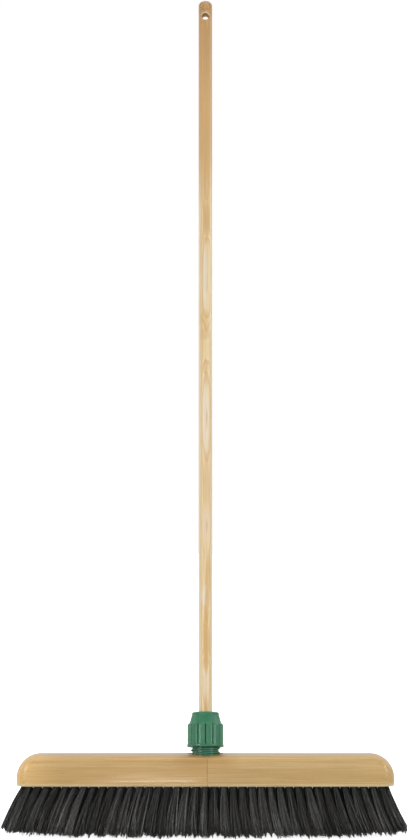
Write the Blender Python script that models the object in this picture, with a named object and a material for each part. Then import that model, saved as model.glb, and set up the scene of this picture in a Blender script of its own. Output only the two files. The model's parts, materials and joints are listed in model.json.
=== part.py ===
"""Push broom in metres, +Z up. X runs along the stock and the handle leans back towards +Y.

The origin is the centre of the flat face that the trimmed tufts sweep with, at Z = 0.
The head is a hardwood stock of two glued halves with drilled blind holes, five rows of
tufts in those holes, and a threaded plastic socket held by one wood screw. The handle
stands in the socket. A clamp nut runs on the socket's thread and squeezes a split grip
ring onto the handle. Sizes below are in millimetres.
"""

import math

import bmesh
import bpy
from mathutils import Matrix, Vector

MM = 0.001

# The head.
TRIM = 77.5  # bristle length below the stock
STOCK_LENGTH = 610.0
STOCK_HALF_DEPTH = 33.0
STOCK_HEIGHT = 49.5
WIDEST_HEIGHT = 10.0  # above the stock's underside
CROWN_POWER = 4.4  # of the superellipse above the widest line
END_LENGTH = 39.0  # over which the crown rolls down to the end
END_STRAIGHT = 13.0  # upright part of the end
CORNER_RADIUS = 22.0  # of the stock's plan corners
GLUE_LINE_X = 3.0
GLUE_GAP = 0.3
STOCK_TOP = TRIM + STOCK_HEIGHT

# The tufts: one row each side of the middle row leans out a little more than the last.
TUFT_PITCH = 14.95
ROW_PITCH = 11.0
ROW_LEAN = math.radians(3.0)
ROWS = (
    ("tuft_row_front", -2, 39),
    ("tuft_row_front_inner", -1, 40),
    ("tuft_row_middle", 0, 39),
    ("tuft_row_back_inner", 1, 40),
    ("tuft_row_back", 2, 39),
)
END_LEAN = math.radians(24.0)
END_TUFT_X = 291.5
LEAN_POWER = 0.7
HOLE_DEPTH = 17.5
HOLE_RADIUS = 3.9
TUFT_TOP_RADIUS = 2.8
TUFT_TIP_RADIUS = 6.7
TUFT_SIDES = 6
MAT_HEIGHT = 8.0  # where the tips of a row run together
MAT_HALF_DEPTH = 7.2

# The socket's axis leaves the crown at SEAT_Y and leans back. Heights along it are
# measured from the crown.
LEAN = math.radians(10.0)
SEAT_Y = 2.0
SEAT_RADIUS = 28.5
SEAT_S = -0.6
ROUND_SIDES = 28

PITCH = 7.0
TURN_PHASE = 5.4  # height of the socket's ridge where it crosses -X
CORE_RADIUS = 21.5
CREST_RADIUS = 23.8
RIDGE_ROOT = 3.6
RIDGE_CREST = 1.7
SHOULDER_S = -8.0
SPIGOT_RADIUS = 17.0
SPIGOT_S = -16.0
SOCKET_TOP_S = 39.5
BORE_RADIUS = 11.45
FLOOR_S = -11.4
MOUTH_RADIUS = 17.0
MOUTH_FOOT_S = 27.0

NUT_BOTTOM_S = 10.5
NUT_FLANGE_S = 14.8
NUT_RIB_S = 46.6
NUT_TOP_S = 67.6
FLANGE_RADIUS = 29.3
LAND_RADIUS = 28.8
GROOVE_RADIUS = 26.9
GROOVES = 14
NUT_WALL_RADIUS = 24.4
NUT_RIDGE_RADIUS = 22.1
NUT_BORE_RADIUS = 11.75

RING_INNER_RADIUS = 11.4
RING_SLIT = 2.4

HANDLE_END_S = -11.0
HANDLE_TOP_S = 1272.0
HANDLE_RADIUS = 11.0  # at the crown
HANDLE_TAPER = 0.45  # more radius at the top
DOME_RISE = 5.5
HANG_HOLE_DROP = 30.0
HANG_HOLE_RADIUS = 6.1

FIT = 0.3  # clear gap between pieces that rest on each other
SHARP_ANGLE = math.radians(32.0)


def clear_scene():
    for old in list(bpy.data.objects):
        bpy.data.objects.remove(old)


def new_material(name, colour, roughness, metallic=0.0):
    material = bpy.data.materials.new(name)
    material.use_nodes = True
    shader = material.node_tree.nodes["Principled BSDF"]
    shader.inputs["Base Color"].default_value = (*colour, 1.0)
    shader.inputs["Roughness"].default_value = roughness
    shader.inputs["Metallic"].default_value = metallic
    material.diffuse_color = (*colour, 1.0)
    return material


def new_object(name, points, faces, material=None, matrix=None):
    """A smooth-shaded mesh object of points in millimetres, its faces turned outwards."""
    shape = bmesh.new()
    corners = [shape.verts.new(Vector(p) * MM) for p in points]
    for face in faces:
        shape.faces.new([corners[i] for i in face])
    bmesh.ops.recalc_face_normals(shape, faces=shape.faces)
    mesh = bpy.data.meshes.new(name)
    shape.to_mesh(mesh)
    shape.free()
    mesh.shade_smooth()
    mesh.set_sharp_from_angle(angle=SHARP_ANGLE)
    if material:
        mesh.materials.append(material)
    made = bpy.data.objects.new(name, mesh)
    bpy.context.scene.collection.objects.link(made)
    if matrix:
        made.matrix_world = matrix
    return made


def as_cutter(made):
    made.hide_render = True
    made.display_type = "WIRE"
    return made


def combine(target, tool, operation):
    step = target.modifiers.new(f"{operation.lower()} {tool.name}", "BOOLEAN")
    step.object = tool
    step.operation = operation
    step.solver = "EXACT"


def loft(rings):
    """Points and faces of a closed solid through rings that have as many points each."""
    count = len(rings[0])
    points = [p for ring in rings for p in ring]
    faces = [tuple(range(count)), tuple(range(len(points) - count, len(points)))]
    for row in range(len(rings) - 1):
        for i in range(count):
            j = (i + 1) % count
            a, b = row * count, (row + 1) * count
            faces.append((a + i, a + j, b + j, b + i))
    return points, faces


def turned(profile, sides=ROUND_SIDES):
    """A solid of revolution about Z from a closed profile of (radius, height)."""
    points = []
    columns = []
    for radius, height in profile:
        if radius == 0:
            columns.append([len(points)] * sides)
            points.append((0, 0, height))
            continue
        columns.append([len(points) + i for i in range(sides)])
        for i in range(sides):
            turn = 2 * math.pi * i / sides
            points.append((radius * math.cos(turn), radius * math.sin(turn), height))
    faces = []
    for k in range(len(profile)):
        here, there = columns[k], columns[(k + 1) % len(profile)]
        for i in range(sides):
            j = (i + 1) % sides
            face = []
            for corner in (here[i], here[j], there[j], there[i]):
                if corner not in face:
                    face.append(corner)
            if len(face) > 2:
                faces.append(tuple(face))
    return points, faces


def helical_ridge(inner, outer, inner_width, outer_width, first_step, steps, phase):
    """A ridge of trapezoid section. Its middle is at height phase where it crosses -X."""
    rings = []
    for step in range(first_step, first_step + steps + 1):
        turn = 2 * math.pi * step / ROUND_SIDES
        height = phase + PITCH * (step / ROUND_SIDES - 0.5)
        c, s = math.cos(turn), math.sin(turn)
        rings.append(
            [
                (inner * c, inner * s, height - inner_width / 2),
                (outer * c, outer * s, height - outer_width / 2),
                (outer * c, outer * s, height + outer_width / 2),
                (inner * c, inner * s, height + inner_width / 2),
            ]
        )
    return loft(rings)


def socket_frame():
    """Z of this frame is the socket's axis, and its origin is on the crown."""
    base = Matrix.Translation(Vector((0, SEAT_Y, STOCK_TOP)) * MM)
    return base @ Matrix.Rotation(-LEAN, 4, "X")


def crown_section():
    """(y, height) of half the stock's section, from the underside up to the crown."""
    lower = [(28.0, 0.0), (30.2, 0.8), (32.0, 3.0), (32.8, 6.2)]
    rise = STOCK_HEIGHT - WIDEST_HEIGHT
    upper = []
    for degrees in (0, 8, 20, 33, 46, 60, 75, 90):
        angle = math.radians(degrees)
        y = STOCK_HALF_DEPTH * max(math.cos(angle), 0.0) ** (2 / CROWN_POWER)
        upper.append((y, WIDEST_HEIGHT + rise * math.sin(angle) ** (2 / CROWN_POWER)))
    upper[-1] = (0.0, STOCK_HEIGHT)
    return lower + upper


def stock_ring(x):
    """The stock's section at x: low and narrow at the ends."""
    past_end = max(abs(x) - (STOCK_LENGTH / 2 - END_LENGTH), 0.0) / END_LENGTH
    fall = math.sqrt(max(1 - past_end**2, 0.0))
    height = END_STRAIGHT + (STOCK_HEIGHT - END_STRAIGHT) * fall
    past_corner = max(abs(x) - (STOCK_LENGTH / 2 - CORNER_RADIUS), 0.0)
    half_depth = STOCK_HALF_DEPTH - CORNER_RADIUS
    half_depth += math.sqrt(max(CORNER_RADIUS**2 - past_corner**2, 0.0))
    wide, tall = half_depth / STOCK_HALF_DEPTH, height / STOCK_HEIGHT
    half = crown_section()
    ring = [(x, y * wide, TRIM + z * tall) for y, z in half]
    return ring + [(x, -y * wide, TRIM + z * tall) for y, z in reversed(half[:-1])]


def stock_stations():
    ends = []
    for degrees in (90, 78, 66, 54, 42, 28, 14, 0):
        run = math.sin(math.radians(degrees))
        ends.append(STOCK_LENGTH / 2 - END_LENGTH + END_LENGTH * run)
    return [-x for x in ends] + list(reversed(ends))


def glue_joint(side):
    """A prism that keeps one half of the stock. Its fingers run upright through it."""
    fingers = ((-60, 0), (-27, 0), (-20, 7), (-12, -8), (-4, 7))
    fingers += ((4, 7), (12, -8), (20, 7), (27, 0), (60, 0))
    seam = [(GLUE_LINE_X + side * GLUE_GAP / 2 + dx, y) for y, dx in fingers]
    outline = seam + [(side * 400, 60), (side * 400, -60)]
    rings = [[(x, y, z) for x, y in outline] for z in (TRIM - 20, STOCK_TOP + 20)]
    return loft(rings)


def tuft_lean(x):
    return math.copysign(END_LEAN * (abs(x) / END_TUFT_X) ** LEAN_POWER, x)


def row_tufts(index, count):
    """For each tuft of a row: its middle at the stock's underside and its direction down."""
    places = []
    for i in range(count):
        x = (i - (count - 1) / 2) * TUFT_PITCH
        along, across = tuft_lean(x), index * ROW_LEAN
        down = Vector((math.tan(along), math.tan(across), -1.0))
        places.append((Vector((x, index * ROW_PITCH, TRIM)), down))
    return places


def peg(middle, down, top, bottom, top_radius, bottom_radius):
    """A level-ended six-sided peg along down. Heights are above the stock's underside."""
    rings = []
    for height, radius in ((bottom, bottom_radius), (top, top_radius)):
        centre = middle - down * height
        ring = []
        for i in range(TUFT_SIDES):
            turn = 2 * math.pi * i / TUFT_SIDES
            ring.append(
                (
                    centre.x + radius * math.cos(turn),
                    centre.y + radius * math.sin(turn),
                    centre.z,
                )
            )
        rings.append(ring)
    return loft(rings)


def joined(shapes):
    points, faces = [], []
    for more_points, more_faces in shapes:
        start = len(points)
        points += more_points
        faces += [tuple(start + i for i in face) for face in more_faces]
    return points, faces


def tuft_holes():
    shapes = []
    for _, index, count in ROWS:
        for middle, down in row_tufts(index, count):
            shapes.append(peg(middle, down, HOLE_DEPTH, -6.0, HOLE_RADIUS, HOLE_RADIUS))
    return as_cutter(new_object("cut_tuft_holes", *joined(shapes)))


def build_stock(wood):
    frame = socket_frame()
    steps = [
        (SPIGOT_RADIUS + FIT, SPIGOT_S - FIT, "spigot"),
        (CORE_RADIUS + FIT, SHOULDER_S - FIT, "shoulder"),
        (SEAT_RADIUS, SEAT_S, "seat"),
        (2.6, -30.6, "pilot"),
    ]
    cutters = [tuft_holes()]
    for radius, foot, name in steps:
        profile = [(0, foot), (radius, foot), (radius, 30.0), (0, 30.0)]
        cutter = new_object(f"cut_{name}", *turned(profile, 24), matrix=frame)
        cutters.append(as_cutter(cutter))
    rings = [stock_ring(x) for x in stock_stations()]
    for name, side in (("stock_left_half", -1), ("stock_right_half", 1)):
        half = new_object(name, *loft(rings), wood)
        keep = as_cutter(new_object(f"keep_{name}", *glue_joint(side)))
        combine(half, keep, "INTERSECT")
        for cutter in cutters:
            combine(half, cutter, "DIFFERENCE")


def build_tuft_row(name, index, count, bristle):
    """Tufts taper from their holes to their tips, where the row is one soft mat."""
    places = row_tufts(index, count)
    top = HOLE_DEPTH - FIT
    below = 4.0 - TRIM
    shapes = []
    for middle, down in places:
        shapes.append(peg(middle, down, top, below, TUFT_TOP_RADIUS, TUFT_TIP_RADIUS))
    pegs = as_cutter(new_object(f"pegs_{name}", *joined(shapes)))
    rings = []
    last_middle, last_down = places[-1]
    for height, reach in ((0.0, TUFT_TIP_RADIUS), (MAT_HEIGHT, TUFT_TIP_RADIUS - 0.8)):
        tip = last_middle + last_down * (TRIM - height)
        x = tip.x + reach
        corners = ((-x, -1), (x, -1), (x, 1), (-x, 1))
        rings.append([(cx, tip.y + side * MAT_HALF_DEPTH, height) for cx, side in corners])
    mat = new_object(name, *loft(rings), bristle)
    combine(mat, pegs, "UNION")


def build_socket(plastic):
    frame = socket_frame()
    profile = [
        (2.6, SPIGOT_S),
        (SPIGOT_RADIUS, SPIGOT_S),
        (SPIGOT_RADIUS, SHOULDER_S),
        (CORE_RADIUS, SHOULDER_S),
        (CORE_RADIUS, SOCKET_TOP_S - 1.5),
        (CORE_RADIUS - 1.5, SOCKET_TOP_S),
        (MOUTH_RADIUS, SOCKET_TOP_S),
        (BORE_RADIUS, MOUTH_FOOT_S),
        (BORE_RADIUS, FLOOR_S),
        (5.0, FLOOR_S),
        (2.6, FLOOR_S - 3.0),
    ]
    socket = new_object("socket", *turned(profile), plastic, frame)
    width = RIDGE_ROOT + (RIDGE_ROOT - RIDGE_CREST) * 0.7 / (CREST_RADIUS - CORE_RADIUS)
    shape = helical_ridge(
        CORE_RADIUS - 0.7, CREST_RADIUS, width, RIDGE_CREST, -9, 154, TURN_PHASE
    )
    ridge = as_cutter(new_object("ridge_socket", *shape, matrix=frame))
    combine(socket, ridge, "UNION")


def build_socket_screw(steel):
    profile = [
        (0, -30.0),
        (1.5, -27.0),
        (2.1, -24.0),
        (2.1, FLOOR_S - 3.4),
        (4.5, FLOOR_S - 0.6),
        (4.5, FLOOR_S - 0.3),
        (2.2, FLOOR_S - 0.3),
        (1.4, FLOOR_S - 1.6),
        (0, FLOOR_S - 1.6),
    ]
    frame = socket_frame()
    new_object("socket_screw", *turned(profile, 16), steel, frame)


def build_grip_ring(plastic):
    slope = (MOUTH_RADIUS - BORE_RADIUS) / (SOCKET_TOP_S - MOUTH_FOOT_S)
    foot_s = 30.0
    foot_radius = BORE_RADIUS + slope * (foot_s - MOUTH_FOOT_S) - FIT
    profile = [
        (RING_INNER_RADIUS, foot_s),
        (foot_radius, foot_s),
        (MOUTH_RADIUS + slope * 2.0 - FIT, SOCKET_TOP_S + 2.0),
        (MOUTH_RADIUS + slope * 2.0 - FIT, SOCKET_TOP_S + 5.5),
        (12.9, 57.0),
        (RING_INNER_RADIUS, 57.0),
    ]
    frame = socket_frame()
    ring = new_object("grip_ring", *turned(profile), plastic, frame)
    half = RING_SLIT / 2
    corners = [(-half, 5), (half, 5), (half, 25), (-half, 25)]
    rings = [[(x, y, z) for x, y in corners] for z in (20, 70)]
    slit = as_cutter(new_object("cut_ring_slit", *loft(rings), matrix=frame))
    combine(ring, slit, "DIFFERENCE")


def nut_ring(radius, height, groove=None):
    """A ring of the nut's outside: each groove is one point between three land points."""
    ring = []
    for lobe in range(GROOVES):
        for part, size in ((0.0, groove or radius), (0.16, radius), (0.5, radius), (0.84, radius)):
            turn = 2 * math.pi * (lobe + part - GROOVES / 4) / GROOVES
            ring.append((size * math.cos(turn), size * math.sin(turn), height))
    return ring


def build_clamp_nut(plastic):
    frame = socket_frame()
    outside = [
        nut_ring(FLANGE_RADIUS - 0.7, NUT_BOTTOM_S),
        nut_ring(FLANGE_RADIUS, NUT_BOTTOM_S + 0.8),
        nut_ring(FLANGE_RADIUS, NUT_FLANGE_S - 0.4),
        nut_ring(LAND_RADIUS, NUT_FLANGE_S, GROOVE_RADIUS),
        nut_ring(LAND_RADIUS, NUT_RIB_S, GROOVE_RADIUS),
        nut_ring(25.8, 49.3),
        nut_ring(24.3, 54.0),
        nut_ring(22.8, 60.2),
        nut_ring(21.9, 64.4),
        nut_ring(20.0, 66.4),
        nut_ring(16.0, NUT_TOP_S - 0.3),
        nut_ring(12.6, NUT_TOP_S),
    ]
    nut = new_object("clamp_nut", *loft(outside), plastic, frame)
    inside = [
        (0, NUT_BOTTOM_S - 5),
        (NUT_WALL_RADIUS, NUT_BOTTOM_S - 5),
        (NUT_WALL_RADIUS, 42.0),
        (18.2, 46.5),
        (13.2, 60.0),
        (NUT_BORE_RADIUS, 60.6),
        (NUT_BORE_RADIUS, NUT_TOP_S + 5),
        (0, NUT_TOP_S + 5),
    ]
    hollow = as_cutter(new_object("cut_nut_hollow", *turned(inside), matrix=frame))
    combine(nut, hollow, "DIFFERENCE")
    width = RIDGE_ROOT + 0.15
    shape = helical_ridge(
        NUT_WALL_RADIUS + 0.6, NUT_RIDGE_RADIUS, width, RIDGE_CREST, 21, 98,
        TURN_PHASE + PITCH / 2,
    )
    ridge = as_cutter(new_object("ridge_nut", *shape, matrix=frame))
    combine(nut, ridge, "UNION")


def handle_radius(height):
    return HANDLE_RADIUS + HANDLE_TAPER * height / HANDLE_TOP_S


def build_handle(wood):
    frame = socket_frame()
    profile = [(0, HANDLE_END_S), (HANDLE_RADIUS - 1.2, HANDLE_END_S)]
    profile.append((HANDLE_RADIUS, HANDLE_END_S + 1.6))
    crown = handle_radius(HANDLE_TOP_S)
    for degrees in (0, 30, 55, 75):
        angle = math.radians(degrees)
        height = HANDLE_TOP_S - DOME_RISE + DOME_RISE * math.sin(angle)
        profile.append((crown * math.cos(angle), height))
    profile.append((0, HANDLE_TOP_S))
    handle = new_object("handle", *turned(profile, 24), wood, frame)
    drill = [(0, -20), (HANG_HOLE_RADIUS, -20), (HANG_HOLE_RADIUS, 20), (0, 20)]
    place = Matrix.Translation(Vector((0, 0, HANDLE_TOP_S - HANG_HOLE_DROP)) * MM)
    matrix = frame @ place @ Matrix.Rotation(math.pi / 2, 4, "X")
    hole = as_cutter(new_object("cut_hang_hole", *turned(drill, 16), matrix=matrix))
    combine(handle, hole, "DIFFERENCE")


def main():
    clear_scene()
    stock_wood = new_material("stock_hardwood", (0.55, 0.36, 0.17), 0.35)
    handle_wood = new_material("handle_softwood", (0.68, 0.50, 0.28), 0.32)
    green = new_material("green_plastic", (0.045, 0.215, 0.11), 0.42)
    ring_plastic = new_material("ring_plastic", (0.75, 0.75, 0.72), 0.45)
    bristle = new_material("black_bristle", (0.025, 0.025, 0.023), 0.6)
    steel = new_material("zinc_steel", (0.62, 0.61, 0.58), 0.35, 1.0)
    build_stock(stock_wood)
    for name, index, count in ROWS:
        build_tuft_row(name, index, count, bristle)
    build_socket(green)
    build_socket_screw(steel)
    build_grip_ring(ring_plastic)
    build_clamp_nut(green)
    build_handle(handle_wood)


main()
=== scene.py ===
"""Looks for the push broom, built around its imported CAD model. Lengths are in millimetres
until they reach a mesh, and the frame is the CAD's: X along the head, Z up, and the tufts'
tips on Z = 0. The design values below repeat the part's own, so every piece lies where the
CAD has it. The looks depart from it in three small ways: the handle's dome is rounder, the
nut is up to 0.5 mm larger in radius, and the bristles' tips are ragged.
"""

import json
import math

import bpy
import numpy as np
from mathutils import Matrix, Vector

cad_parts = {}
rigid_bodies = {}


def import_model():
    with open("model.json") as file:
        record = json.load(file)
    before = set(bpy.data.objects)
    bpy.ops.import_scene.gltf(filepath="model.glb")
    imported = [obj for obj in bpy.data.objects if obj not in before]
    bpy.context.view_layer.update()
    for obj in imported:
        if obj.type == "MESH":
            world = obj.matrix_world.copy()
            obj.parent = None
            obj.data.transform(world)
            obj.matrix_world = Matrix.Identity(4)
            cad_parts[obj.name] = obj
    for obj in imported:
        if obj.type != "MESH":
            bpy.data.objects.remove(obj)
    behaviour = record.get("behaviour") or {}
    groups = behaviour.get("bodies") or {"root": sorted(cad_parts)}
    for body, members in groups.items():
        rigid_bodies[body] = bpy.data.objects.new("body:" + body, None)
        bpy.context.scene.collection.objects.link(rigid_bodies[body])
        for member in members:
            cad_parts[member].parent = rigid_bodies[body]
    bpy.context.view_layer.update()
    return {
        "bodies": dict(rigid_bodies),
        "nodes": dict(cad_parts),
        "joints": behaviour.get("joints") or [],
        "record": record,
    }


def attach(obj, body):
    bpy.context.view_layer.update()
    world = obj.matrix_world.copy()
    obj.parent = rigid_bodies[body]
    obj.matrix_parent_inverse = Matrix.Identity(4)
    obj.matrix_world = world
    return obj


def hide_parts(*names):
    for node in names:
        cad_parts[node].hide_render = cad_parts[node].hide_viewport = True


MM = 0.001

# Stock.
TRIM = 77.5
STOCK_LENGTH = 610.0
STOCK_HALF_DEPTH = 33.0
STOCK_HEIGHT = 49.5
WIDEST_HEIGHT = 10.0
CROWN_POWER = 4.4
END_LENGTH = 39.0
END_STRAIGHT = 13.0
CORNER_RADIUS = 22.0
GLUE_LINE_X = 3.0
GLUE_GAP = 0.25
STOCK_TOP = TRIM + STOCK_HEIGHT
# (y, height) of the stock's rounded lower edge, from the underside up.
LOWER_EDGE = (
    (27.6, 0.0),
    (28.6, 0.12),
    (29.7, 0.5),
    (30.7, 1.2),
    (31.6, 2.4),
    (32.2, 3.9),
    (32.65, 5.8),
    (32.9, 7.9),
)
KEEP_REACH = 400.0  # well past the stock's ends
# (y, x) of the glue joint's fingers, from the middle of the joint.
FINGERS = (
    (-60.0, 0.0),
    (-27.0, 0.0),
    (-20.0, 7.0),
    (-12.0, -8.0),
    (-4.0, 7.0),
    (4.0, 7.0),
    (12.0, -8.0),
    (20.0, 7.0),
    (27.0, 0.0),
    (60.0, 0.0),
)

# Tufts.
TUFT_PITCH = 14.95
ROW_PITCH = 11.0
ROW_LEAN = math.radians(3.0)
ROWS = (
    ("front", -2, 39),
    ("front_inner", -1, 40),
    ("middle", 0, 39),
    ("back_inner", 1, 40),
    ("back", 2, 39),
)
END_LEAN = math.radians(24.0)
END_TUFT_X = 291.5
LEAN_POWER = 0.7
HOLE_RADIUS = 3.9
HOLE_DEPTH = 17.5
BURR_THICKNESS = 0.6
ROOT_RADIUS = 4.0
TIP_SPREAD = (10.6, 8.6)  # along and across the stock
FIBRES_PER_TUFT = 132
STRANDS_PER_TUFT = 34
FIBRE_SIDES = 3
FIBRE_STEPS = 6
FIBRE_SHARES = np.linspace(0.0, 1.0, FIBRE_STEPS) ** 0.9  # each step's share of the way
FIBRE_RADIUS = 0.4
LONGEST_FIBRE = 83.5
END_SHORTER = 5.5  # the leaning end tufts have shorter fibres
# The fibres have taken a slight set to the left: at their tips, and halfway down.
TIP_DRIFT = -2.4
BOW_DRIFT = -2.2
LOWEST_TIP = -6.0  # ragged tips pass the trim plane by this much at most
# The trimmed face is uneven along the head: (spacing, deviation) of each random wave.
TRIM_WAVES = ((2.6, 1.9), (13.0, 0.8))

# Socket, nut and handle, along the socket's axis from the crown.
LEAN = math.radians(10.0)
SEAT_Y = 2.0
SEAT_RADIUS = 28.5
SEAT_S = -0.6
PITCH = 7.0
TURN_PHASE = 5.4
THREAD_START = 235.0 / 360.0  # of a turn
CORE_RADIUS = 21.5
CREST_RADIUS = 23.8
SHOULDER_S = -8.0
SPIGOT_RADIUS = 17.0
SPIGOT_S = -16.0
SOCKET_TOP_S = 39.5
BORE_RADIUS = 11.45
FLOOR_S = -11.4
MOUTH_RADIUS = 17.0
MOUTH_FOOT_S = 27.0
NUT_BOTTOM_S = 10.5
NUT_TOP_S = 67.6
FLANGE_RADIUS = 29.8
LAND_RADIUS = 29.1
GROOVE_DEPTH = 1.9
GROOVE_WIDTH = 3.4
GROOVES = 14
LAND_FALL = 0.35
NUT_WALL_RADIUS = 24.4
NUT_RIDGE_RADIUS = 22.1
NUT_BORE_RADIUS = 11.75
HANDLE_END_S = -11.0
HANDLE_TOP_S = 1272.0
HANDLE_RADIUS = 11.0
HANDLE_TAPER = 0.45
DOME_RISE = 8.6
HANG_HOLE_DROP = 30.0
HANG_HOLE_RADIUS = 6.1
HOLE_CHAMFER = 0.6

# Camera: its distance in front of the head, height and sideways place, and its lens.
CAMERA_DISTANCE = 4300.0
CAMERA_HEIGHT = 667.2
CAMERA_X = -3.2
CAMERA_LENS = 113.9
FLOOR_Z = -6.4
# The room's light from below (the white floor's bounce), from the sides and from above.
ROOM_LIGHT = ((0.0, 0.52), (0.36, 0.44), (0.5, 0.2), (0.75, 0.26), (1.0, 0.44))
WALL_GAIN = 3.2  # how much brighter the wall behind the broom is
# Each light's name, place, target and size in metres, and power in watts.
LIGHTS = (
    ("left_softbox", (-2.4, -2.3, 1.0), (0.0, 0.0, 0.45), (0.9, 1.9), 45.0),
    ("right_softbox", (2.6, -1.9, 1.05), (0.0, 0.0, 0.45), (0.7, 1.8), 37.0),
    ("front_fill", (0.3, -4.4, 1.3), (0.0, 0.0, 0.55), (2.4, 1.4), 20.0),
    ("top_softbox", (-0.2, 0.1, 3.2), (0.0, 0.0, 0.3), (1.8, 1.4), 14.0),
    ("right_rim", (2.4, 0.5, 0.9), (0.0, 0.0, 0.7), (0.5, 1.8), 3.0),
    ("high_rim", (2.4, 0.5, 1.7), (0.0, 0.2, 1.3), (0.5, 0.8), 8.0),
    ("left_rim", (-2.4, 0.5, 0.9), (0.0, 0.0, 0.7), (0.5, 1.8), 8.0),
)


# Each half of the stock: its material's name, how its figure is moved, its light and dark
# wood, how its growth bands tilt along it, and how much painted light brightens its end.
STOCK_WOODS = (
    ("beech_left", (0.31, 0.12, 0.0), (0.65, 0.425, 0.175), (0.54, 0.33, 0.118), 0.012, 0.95),
    ("beech_right", (-0.7, 0.4, 0.2), (0.675, 0.458, 0.2), (0.54, 0.345, 0.133), -0.016, 0.1),
)


# ---------------------------------------------------------------- meshes


def socket_frame():
    """Z of this frame is the socket's axis, and its origin is on the crown."""
    base = Matrix.Translation(Vector((0, SEAT_Y, STOCK_TOP)) * MM)
    return base @ Matrix.Rotation(-LEAN, 4, "X")


def new_object(name, points, faces, matrix=None, smooth_angle=40.0):
    mesh = bpy.data.meshes.new(name)
    mesh.from_pydata((np.asarray(points, float) * MM).tolist(), [], faces)
    mesh.update()
    mesh.shade_smooth()
    if smooth_angle:
        mesh.set_sharp_from_angle(angle=math.radians(smooth_angle))
    made = bpy.data.objects.new(name, mesh)
    bpy.context.scene.collection.objects.link(made)
    if matrix:
        made.matrix_world = matrix
    return made


def ring_faces(rings, columns, closed_loop=False):
    """Quads between rings of points that lie one after another."""
    faces = []
    last = rings if closed_loop else rings - 1
    for row in range(last):
        a, b = row * columns, ((row + 1) % rings) * columns
        for i in range(columns):
            j = (i + 1) % columns
            faces.append((a + i, a + j, b + j, b + i))
    return faces


def lofted(rings):
    """A closed solid through rings that run anticlockwise, seen from the far end."""
    columns = len(rings[0])
    points = np.concatenate([np.asarray(ring, float) for ring in rings])
    faces = ring_faces(len(rings), columns)
    faces.append(tuple(reversed(range(columns))))
    faces.append(tuple(range(len(points) - columns, len(points))))
    return points, faces


def tube(radii, heights, columns):
    """A closed ring of rings: radii[k] is a number, or one radius for each column."""
    turns = np.arange(columns) * 2 * math.pi / columns
    rings = []
    for radius, height in zip(radii, heights, strict=True):
        size = np.broadcast_to(np.asarray(radius, float), (columns,))
        up = np.full(columns, float(height))
        rings.append(np.stack([size * np.cos(turns), size * np.sin(turns), up], 1))
    return np.concatenate(rings), ring_faces(len(rings), columns, closed_loop=True)


def smoothstep(x, low, high):
    t = np.clip((np.asarray(x, float) - low) / (high - low), 0.0, 1.0)
    return t * t * (3 - 2 * t)


def combine(target, tools, operation):
    """Booleans with the tools, applied at once. The tools are removed."""
    for tool in tools:
        step = target.modifiers.new("step", "BOOLEAN")
        step.object = tool
        step.operation = operation
        step.solver = "EXACT"
    graph = bpy.context.evaluated_depsgraph_get()
    graph.update()
    solid = bpy.data.meshes.new_from_object(target.evaluated_get(graph))
    target.modifiers.clear()
    target.data = solid
    for tool in tools:
        bpy.data.objects.remove(tool)
    return target


def finish_shading(piece, angle):
    piece.data.shade_smooth()
    piece.data.set_sharp_from_angle(angle=math.radians(angle))


def dress(piece, body, material, slot, *nodes):
    """Gives a finished piece its material and its body, and hides the CAD nodes that it stands
    for.
    """
    piece.data.materials.clear()
    piece.data.materials.append(material)
    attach(piece, body)
    if nodes:
        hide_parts(*nodes)
    return piece


# ---------------------------------------------------------------- stock


def crown_section(count=22):
    """(y, height) of half the stock's section, from the underside up to the crown."""
    half = list(LOWER_EDGE)
    rise = STOCK_HEIGHT - WIDEST_HEIGHT
    for k in range(count):
        angle = math.pi / 2 * k / (count - 1)
        y = STOCK_HALF_DEPTH * max(math.cos(angle), 0.0) ** (2 / CROWN_POWER)
        z = WIDEST_HEIGHT + rise * math.sin(angle) ** (2 / CROWN_POWER)
        half.append((y, z))
    half[-1] = (0.0, STOCK_HEIGHT)
    return half


def stock_ring(x, half):
    past_end = max(abs(x) - (STOCK_LENGTH / 2 - END_LENGTH), 0.0) / END_LENGTH
    fall = math.sqrt(max(1 - past_end**2, 0.0))
    height = END_STRAIGHT + (STOCK_HEIGHT - END_STRAIGHT) * fall
    past_corner = max(abs(x) - (STOCK_LENGTH / 2 - CORNER_RADIUS), 0.0)
    half_depth = STOCK_HALF_DEPTH - CORNER_RADIUS
    half_depth += math.sqrt(max(CORNER_RADIUS**2 - past_corner**2, 0.0))
    wide, tall = half_depth / STOCK_HALF_DEPTH, height / STOCK_HEIGHT
    ring = [(x, y * wide, TRIM + z * tall) for y, z in half]
    return ring + [(x, -y * wide, TRIM + z * tall) for y, z in reversed(half[:-1])]


def stock_stations():
    ends = []
    for step in range(22):
        run = math.sin(math.pi / 2 * (1 - step / 21))
        ends.append(STOCK_LENGTH / 2 - END_LENGTH + END_LENGTH * run)
    return [-x for x in ends] + list(reversed(ends))


def stock_solid(name):
    half = crown_section()
    return new_object(name, *lofted([stock_ring(x, half) for x in stock_stations()]))


def glue_joint(side):
    """A prism that keeps one half of the stock. Its fingers run upright through it."""
    width, reach = FINGERS[-1][0], side * KEEP_REACH
    seam = [(GLUE_LINE_X + side * GLUE_GAP / 2 + dx, y) for y, dx in FINGERS]
    outline = seam + [(reach, width), (reach, -width)]
    if side > 0:
        outline.reverse()
    rings = [[(x, y, z) for x, y in outline] for z in (TRIM - 20, STOCK_TOP + 20)]
    return new_object("keep", *lofted(rings), smooth_angle=None)


def turned_cutter(profile, matrix, sides=64):
    """A closed solid of revolution through (radius, height) from the foot up."""
    rings = []
    for radius, height in profile:
        turns = [2 * math.pi * i / sides for i in range(sides)]
        rings.append([(radius * math.cos(t), radius * math.sin(t), height) for t in turns])
    return new_object("cutter", *lofted(rings), matrix=matrix, smooth_angle=None)


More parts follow.
